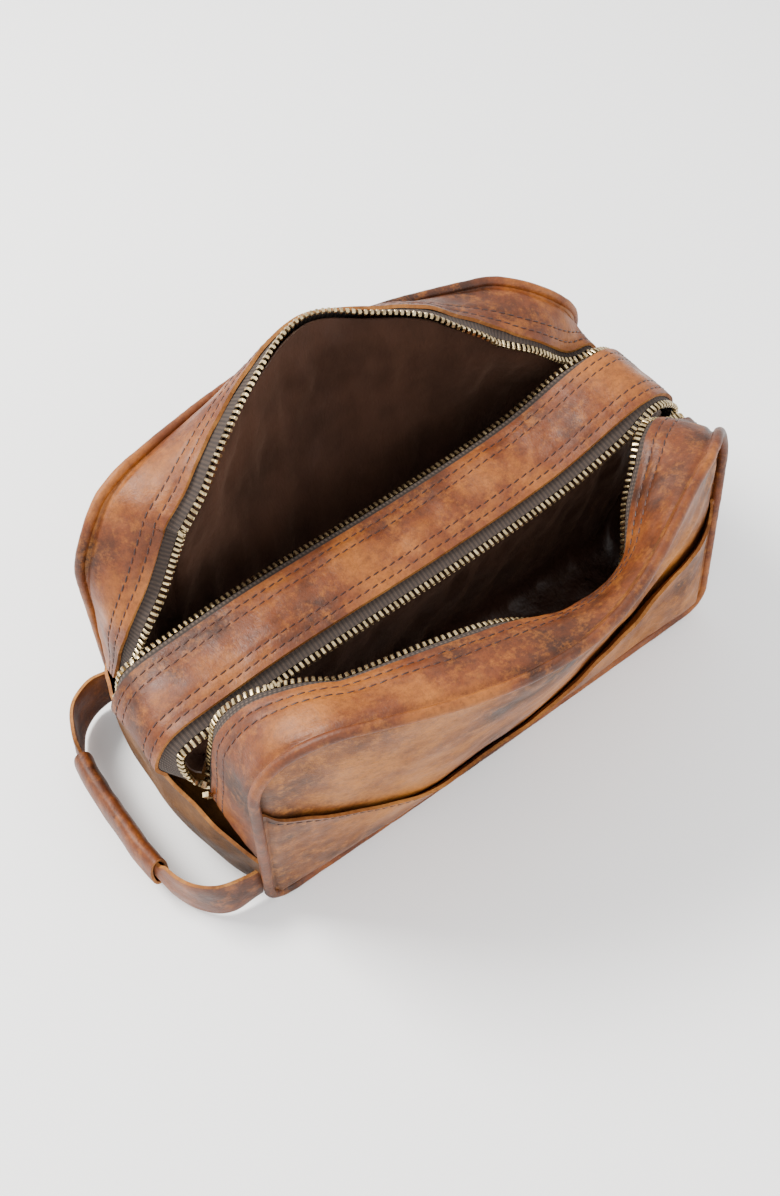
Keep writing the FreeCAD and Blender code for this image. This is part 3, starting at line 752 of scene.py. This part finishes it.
def wall_ring():
    """Line round a wall, from the middle of the base and back."""
    ring = [(mix(0, half - corner_base, k), piping_r + gap) for k in steps(48)]
    for a in steps(16)[1:]:
        a *= math.pi / 2
        ring.append((half - corner_base + corner_base * math.sin(a), bend - corner_base * math.cos(a)))
    straight = height - corner_top - bend
    ring += [(half, bend + straight * k) for k in steps(28)[1:]]
    for a in steps(28)[1:]:
        a *= math.pi / 2
        ring.append((half - corner_top + corner_top * math.cos(a),
                     height - corner_top + corner_top * math.sin(a)))
    ring += [(mix(half - corner_top, 0, k), height) for k in steps(48)[1:]]
    return ring + [(-x, h) for x, h in reversed(ring[:-1])]


def tube(name, points, radius, spokes, material, nodes):
    """Closed round cord along a line of points."""
    grid = []
    for i, p in enumerate(points):
        along = (points[min(i + 1, len(points) - 1)] - points[max(i - 1, 0)]).normalized()
        across = along.cross(V(0, 1, 0)).normalized()
        up = across.cross(along)
        for j in range(spokes):
            a = 2 * math.pi * j / spokes
            out = across * math.cos(a) + up * math.sin(a)
            grid.append(p + out * (radius + ripple(p + out * 3, 4, 0.16)))
    faces = []
    for i in range(len(points) - 1):
        for j in range(spokes):
            a, b, k = i * spokes, (i + 1) * spokes, (j + 1) % spokes
            faces.append((a + j, b + j, b + k, a + k))
    faces.append(tuple(reversed(range(spokes))))
    faces.append(tuple(len(grid) - spokes + j for j in range(spokes)))
    finish_piece(name, grid, faces, [material], nodes=nodes)


for name, side in (("front", -1), ("rear", 1)):
    line = [wall(x, h, side, piping_proud) for x, h in wall_ring()]
    tube(name + " piping", line, piping_r, 16, strip_leather, [name + "_piping"])
print("piping made")

# %% [markdown]
# ## Top strips
# The outer strips run from the piping to a zip, and the middle strip lies between the zips.
# Two rows of stitches run beside each zip, 5 mm apart, and each row pulls a shallow groove.

# %% Strips
fine_steps = 260
fine_cols = 36
mid_cols = 40
strip_start = 1.6       # the leather starts this far in from the middle of the piping


def groove(d):
    """Dip of the leather `d` mm from the zip edge, where the stitches pull it down."""
    return -0.34 * sum(math.exp(-((d - r) / 0.75) ** 2) for r in stitch_rows)


def strip_surface(t, k, side):
    """Point on an outer strip, k from the piping (0) to the zip (1), and its normal."""
    p, way, up = strip_way(t, side)
    edge = strip_edge(t, side)
    start = p + (edge - p).normalized() * strip_start
    q = start + (edge - start) * k
    to_zip = (edge - start).length * (1 - k)
    edge_up = row_frame(t, side, True)[2]
    n = up.lerp(edge_up, k).normalized()
    seam = -math.exp(-(((edge - start).length * k - 1.6) / 1.6) ** 2)
    rise = 1.3 * math.sin(math.pi * k) + groove(to_zip) + seam
    free = math.sin(math.pi * min(1, k * 1.2)) ** 0.7
    rise += (ripple(q, 15, 1.0) + ripple(q + V(50, 0, 0), 6, 0.25)) * free
    rise += ripple(V(q.x, q.y * 0.2, q.z), 11, 0.5) * ease(k)
    return q + n * rise, n


def mid_surface(t, y):
    """Point on the middle strip and its normal."""
    up = row_frame(t, 1, False)[2]
    q = mid_line(t, y)
    d = mid_width / 2 - abs(y)
    rise = groove(d) + ripple(q, 17, 0.9) * ease(d / 5)
    rise += ripple(q + V(9, 9, 9), 7, 0.3) * ease(d / 4)
    return q + up * rise, up


def outer_strip(name, side):
    """Strip from a wall's piping to its zip, with its stitches."""
    top, bottom = [], []
    for t in steps(fine_steps):
        row = [strip_surface(t, k, side) for k in steps(fine_cols)]
        top.append([q for q, n in row])
        bottom.append([q - n * leather for q, n in row])
    sheet(name + " strip", top, bottom, [strip_leather, cut_edge],
          nodes=[name + "_strip"], flip=side < 0)
    for number, r in enumerate(stitch_rows):
        line, ups = [], []
        for t in steps(fine_steps):
            p = strip_way(t, side)[0]
            k = 1 - r / ((strip_edge(t, side) - p).length - strip_start)
            q, n = strip_surface(t, k, side)
            line.append(q)
            ups.append(n)
        stitch_line("%s strip stitches %d" % (name, number + 1), line, ups)


outer_strip("front", -1)
outer_strip("rear", 1)
rows = [[mid_surface(t, mix(-mid_width / 2, mid_width / 2, k)) for k in steps(mid_cols)]
        for t in steps(fine_steps)]
sheet("middle strip", [[q for q, n in row] for row in rows],
      [[q - n * leather for q, n in row] for row in rows], [strip_leather, cut_edge],
      nodes=["middle_strip"], flip=True)
for side in (-1, 1):
    for number, r in enumerate(stitch_rows):
        line = [mid_surface(t, side * (mid_width / 2 - r)) for t in steps(fine_steps)]
        stitch_line("middle strip stitches %s %d" % ("front" if side < 0 else "rear", number + 1),
                    [q for q, n in line], [n for q, n in line])
print("three strips with their stitches made")

# %% [markdown]
# ## End piece
# One wide strip makes the left end, the base and the right end. Its left end bulges.


# %% End piece
end_inset = 0.8


def seam_line(side, v):
    """Height of the seam at the top of an end piece, across the bag."""
    if side > 0:
        return seam_height - 3 + (seam_rise - 4) * (1 - abs(v) ** 2.4)
    keys = [(-1, seam_height - 2), (-0.78, seam_height + 8), (-0.5, seam_height + 20),
            (-0.25, seam_height + seam_rise - 4), (0.25, seam_height + seam_rise - 4),
            (0.55, seam_height + 16), (1, seam_height - 2)]
    return through(keys, v)


def end_point(side, z, v):
    """Place on an end, `v` from -1 at the front to 1 at the rear."""
    push = left_bulge if side < 0 else right_bulge
    out = push * ease(z / 22) * mix(1, 1.05, z / 70) * max(0.0, 1 - abs(v) ** 2.6)
    y = v * (abs(wall(side * half, z, -1 if v < 0 else 1).y) - end_inset)
    x = half
    if z < corner_base:
        a = math.acos(max(-1, min(1, 1 - z / corner_base)))
        x = half - corner_base + corner_base * math.sin(a)
    return V(side * (x + out), y, z)


def end_grid(lift):
    def place(p, kind):
        if kind == "base":
            return p + V(0, 0, lift)
        toward = V(-1 if p.x > 0 else 1, 0, 0.15).normalized()
        fold = ripple(V(p.x, p.y, p.z * 1.5), 24, 1.6) * ease(p.z / 20) * (1 if p.x < 0 else 0.4)
        return p + toward * (lift + max(-1.2, fold))

    across = [mix(-1, 1, k) for k in steps(64)]

    def side_rows(side):
        """Rows up one end, from the base round the lower bend and up to the seam."""
        low = [[place(end_point(side, corner_base * (1 - math.cos(k * math.pi / 2)), v), "end")
                for v in across] for k in steps(8)[:-1]]
        high = [[place(end_point(side, mix(corner_base, seam_line(side, v), k), v), "end")
                 for v in across] for k in steps(30)]
        return low + high

    base = [[place(V(mix(-1, 1, k) * (half - corner_base), v * (depth / 2 - end_inset), 0), "base")
             for v in across] for k in steps(30)[1:-1]]
    return list(reversed(side_rows(-1))) + base + side_rows(1)


# The end piece uses the darker leather that carries painted shade.
sheet("end piece", end_grid(0), end_grid(leather), [end_leather_with_painted_shade, cut_edge],
      nodes=["end_piece"])
print("end piece made")

# %% [markdown]
# ## Zips
# The tapes show the woven cloth between leather and teeth. The teeth stand 2.7 mm apart along
# the tape's edge, which is near the pitch of a size 5 metal zip.

# %% Zips
tooth = tooth_shape()
metal_parts = ("stops", "stop", "slider", "pull")
total = 0
for name, side in (("front", -1), ("rear", 1)):
    for place, outer in (("outer", True), ("inner", False)):
        top, bottom = [], []
        for t in steps(220):
            line, up = tape_line(t, side, outer)
            dense = [line[0], line[1], line[2], line[2].lerp(line[4], 0.33),
                     line[2].lerp(line[4], 0.67), line[4]]
            top.append(dense)
            bottom.append([p - up * tape for p in dense])
        flip = (side < 0) == outer
        sheet("%s zip %s tape" % (name, place), top, bottom, [woven], run_uv=True,
              nodes=["%s_zip_%s_tape" % (name, place)], slot="zip_tape", flip=flip)
        edge, ways, ups = [], [], []
        for t in steps(900):
            line, up = tape_line(t, side, outer)
            edge.append(line[-1] - up * (tape / 2))
            ways.append((line[-1] - line[-2]).normalized())
            ups.append(up)
        places = []
        for p, along, i, k in evenly(edge, tooth_pitch)[1:]:
            way = (ways[i] - along * along.dot(ways[i])).normalized()
            places.append((p, along, way, along.cross(way)))
        total += len(places)
        copies("%s zip %s teeth" % (name, place), tooth, places, [brass],
               nodes=["%s_zip_%s_teeth" % (name, place)], slot="zip_metal", sharp=30)
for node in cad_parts:
    if "_zip_" in node and node.split("_")[-1] in metal_parts:
        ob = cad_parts[node]
        ob.data.materials.clear()
        ob.data.materials.append(brass)
print("four tapes and", total, "teeth made")

# %% [markdown]
# ## Lining
# Each compartment holds a satin sack, sewn to the two tapes. Its cloth is a little too large,
# so it falls in upright folds.

# %% Lining
stop_thick = 2.8
lining_drop = tape / 2 + stop_thick / 2 + gap + lining
lining_floor = 7.0
lining_lowest = 4.5
divider_gap = 4.0
sack_steps, sack_cols = 170, 64
sack_bend = 14.0


def sack_line(t, side):
    """Even points down one side of a sack, across its floor and up the other side."""
    tops = []
    for outer in (True, False):
        line, up = tape_line(t, side, outer)
        way = (line[-1] - line[-2]).normalized()
        drop = lining_drop + 3 * ease((t - 0.77) / 0.06) + 2 * (1 - ease(t / 0.16))
        tops.append(line[-1] - way * 1.5 - up * (drop + 0.3))
    spread = mix(0.35, 1, ease(t / 0.15) * ease((1 - t) / 0.15))
    x = through([(0, -half + 15), (0.12, -half + 13), (0.22, -half + 26), (0.78, half - 26),
                 (0.9, half - 12), (1, half - 10)], t)
    z = through([(0, 56), (0.12, 20), (0.2, lining_floor), (0.3, lining_floor),
                 (0.7, lining_floor), (0.8, lining_floor), (0.9, 20), (1, 52)], t)
    feet = [V(x, side * mix(row_centre + 8, depth / 2 - 9, spread), z),
            V(x, side * divider_gap - mid_shift, z)]
    corners = [tops[0], feet[0], feet[1], tops[1]]
    points = [corners[0]]
    for i in (1, 2):
        a, b, c = corners[i - 1], corners[i], corners[i + 1]
        r = min(sack_bend, (b - a).length * 0.45, (c - b).length * 0.45)
        p, q = b + (a - b).normalized() * r, b + (c - b).normalized() * r
        points += [p * (1 - k) ** 2 + b * (2 * k * (1 - k)) + q * k**2 for k in steps(8)]
    points.append(corners[3])
    run = lengths(points)
    out, i = [], 0
    for k in steps(sack_cols):
        want = k * run[-1]
        while i < len(run) - 2 and run[i + 1] < want:
            i += 1
        out.append(points[i].lerp(points[i + 1], (want - run[i]) / (run[i + 1] - run[i])))
    return out


def make_sack(name, side):
    """Lining sack whose cloth is free away from its seams."""
    grid = [sack_line(mix(0.02, 0.985, k), side) for k in steps(sack_steps)]
    out = normals(grid)
    top, bottom = [], []
    for i, row in enumerate(grid):
        top.append([])
        bottom.append([])
        for j, p in enumerate(row):
            k = j / (len(row) - 1)
            free = ease(k / 0.08) * ease((1 - k) / 0.08) * ease(i / 12)
            free *= ease((len(grid) - 1 - i) / 12)
            fold = ripple(V(p.x, p.y * 0.6, p.z * 0.28), 11, 3.0)
            fold += ripple(V(p.x, p.y, p.z * 0.5 + 300), 5, 0.8)
            belly = 4.5 * ease(k / 0.2) * ease((0.42 - k) / 0.16)
            n = out[i][j] * (1 if side < 0 else -1)
            q = p + n * (fold * free * (0.45 if p.z < 16 else 1)) + V(0, side * belly * free, 0)
            q.z = max(q.z, lining_lowest)
            top[-1].append(q)
            bottom[-1].append(q + n * lining)
    sheet(name + " lining", bottom, top, [satin], nodes=[name + "_lining"], slot="lining",
          flip=side > 0)


make_sack("front", -1)
make_sack("rear", 1)
print("two lining sacks made")

# %% [markdown]
# ## Handle
# A flat strap is sewn into the left end seams at its two ends. A second piece of leather is
# rolled round its middle as the grip, and its cut edge runs along the outside in a soft wave.


# %% Handle
def handle_point(a):
    """Place on the handle's line, `a` from -1 at its front end to 1 at its rear end."""
    angle = a * math.pi / 2
    out = handle_reach * abs(math.cos(angle)) ** 0.66
    return V(-half - 1.5 - out, handle_half * math.copysign(abs(math.sin(angle)) ** 0.66, a),
             handle_height)


raw_steps = 3000
raw = [handle_point(-1 + 2 * i / raw_steps) for i in range(raw_steps + 1)]
raw_run = lengths(raw)
strap_length = raw_run[-1]


def handle_path(count, low, high):
    """Even points along part of the handle's line, each with its outward normal."""
    out, i = [], 0
    for k in steps(count):
        want = mix(low, high, k) * strap_length
        while i < raw_steps - 1 and raw_run[i + 1] < want:
            i += 1
        way = (raw[min(i + 8, raw_steps)] - raw[max(i - 8, 0)]).normalized()
        out.append((raw[i], V(-way.y, way.x, 0)))
    return out


def make_strap():
    """Flat strap, narrowed where the grip holds it."""
    count = 200
    path = handle_path(count, 0, 1)
    outer, inner = [], []
    for i, (p, n) in enumerate(path):
        from_end = min(i, count - i) / count * strap_length
        tall = mix(strap_end_width, strap_width, ease(from_end / 14))
        tall = mix(tall, grip_height - 6, ease((from_end - grip_start + 7) / 6))
        outer.append([])
        inner.append([])
        for k in steps(20):
            z = mix(-tall / 2, tall / 2, k)
            crown = 0.7 * math.sin(math.pi * k) + ripple(p + V(0, 0, z), 12, 0.8)
            edge = 0.45 * math.exp(-min(k, 1 - k) * 18)
            base = p + V(0, 0, z) + n * crown
            outer[-1].append(base + n * (strap_thick / 2 - edge))
            inner[-1].append(base - n * (strap_thick / 2 - edge))
    ob = sheet("handle strap", outer, inner, [handle_leather, cut_edge], body=None,
               nodes=["handle_strap"])
    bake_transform(ob)


def make_grip():
    """Leather rolled once round the strap, with its cut edge on the outside."""
    count = 150
    roll_half = 0.7
    low = grip_start / strap_length
    path = handle_path(count, low, 1 - low)
    outer, inner = [], []
    for i, (p, n) in enumerate(path):
        u = i / count
        turn = 2 * math.pi + 0.75 + 0.16 * math.sin(u * 9.0) + ripple(V(u * 30, 0, 0), 2, 0.12)
        outer.append([])
        inner.append([])
        for k in steps(64):
            a = -2.35 + turn * k
            grow = ease((k - 0.80) / 0.12)
            wide = grip_thick / 2 - roll_half + grow
            tall = grip_height / 2 - 0.9 + grow * 0.8
            c, s = math.cos(a), math.sin(a)
            round_c = math.copysign(abs(c) ** 0.85, c)
            round_s = math.copysign(abs(s) ** 0.85, s)
            pinch = ripple(p + V(c, s, s) * 4, 10, 0.7)
            q = p + n * (round_c * (wide + pinch)) + V(0, 0, round_s * (tall + pinch))
            away = (n * (c / wide) + V(0, 0, s / tall)).normalized()
            outer[-1].append(q + away * roll_half)
            inner[-1].append(q - away * roll_half)
    sheet("handle grip", outer, inner, [handle_leather, cut_edge], body="handle",
          nodes=["handle_grip"])


make_strap()
make_grip()
print("handle made, strap %.0f mm long" % strap_length)

# %% [markdown]
# ## Camera, floor and light
# The camera looks down at the front left corner. A large soft light hangs above and behind,
# and a weaker one fills the front, over a white studio floor.

# %% Camera
azimuth, elevation, roll = math.radians(-37.43), math.radians(55.79), math.radians(0.4)
back = V(math.sin(azimuth) * math.cos(elevation), -math.cos(azimuth) * math.cos(elevation),
         math.sin(elevation))
right = V(math.cos(azimuth), math.sin(azimuth), 0)
up = back.cross(right)
across = right * math.cos(roll) + up * math.sin(roll)
above = up * math.cos(roll) - right * math.sin(roll)
lens = bpy.data.cameras.new("camera")
lens.lens = 38.675
lens.sensor_width = 36
camera = bpy.data.objects.new("camera", lens)
turned = Matrix((across, above, back)).transposed().to_4x4()
camera.matrix_world = Matrix.Translation(V(-218.37, -263.96, 547.02) * MM) @ turned
bpy.context.scene.collection.objects.link(camera)
bpy.context.scene.camera = camera


def area_light(name, place, target, size, watts, colour):
    data = bpy.data.lights.new(name, "AREA")
    data.shape = "RECTANGLE"
    data.size, data.size_y = size
    data.energy = watts
    data.color = seen(colour)[:3]
    ob = bpy.data.objects.new(name, data)
    ob.location = place
    ob.rotation_euler = (Vector(target) - Vector(place)).to_track_quat("-Z", "Y").to_euler()
    bpy.context.scene.collection.objects.link(ob)


area_light("key", (-0.55, 0.75, 1.15), (0, 0, 0.06), (0.6, 0.45), 40, "#FFFDF8")
area_light("fill", (-0.9, -0.9, 0.8), (0, 0, 0.05), (0.9, 0.9), 7, "#FFFFFF")
area_light("front", (0.7, -1.1, 0.7), (0, 0, 0.05), (0.8, 0.8), 9, "#FFFFFF")
world = bpy.data.worlds.new("studio")
bpy.context.scene.world = world
world.use_nodes = True
world.node_tree.nodes["Background"].inputs["Color"].default_value = seen("#FFFFFF")
world.node_tree.nodes["Background"].inputs["Strength"].default_value = 1.5

bpy.ops.mesh.primitive_plane_add(size=8, location=(0, 0, 0))
floor = bpy.context.object
floor.name = "floor"
paper, tree, shader = fresh("white floor")
shader.inputs["Base Color"].default_value = seen("#FAFAFA")
shader.inputs["Roughness"].default_value = 0.9
floor.data.materials.append(paper)
print("camera, lights and floor placed")
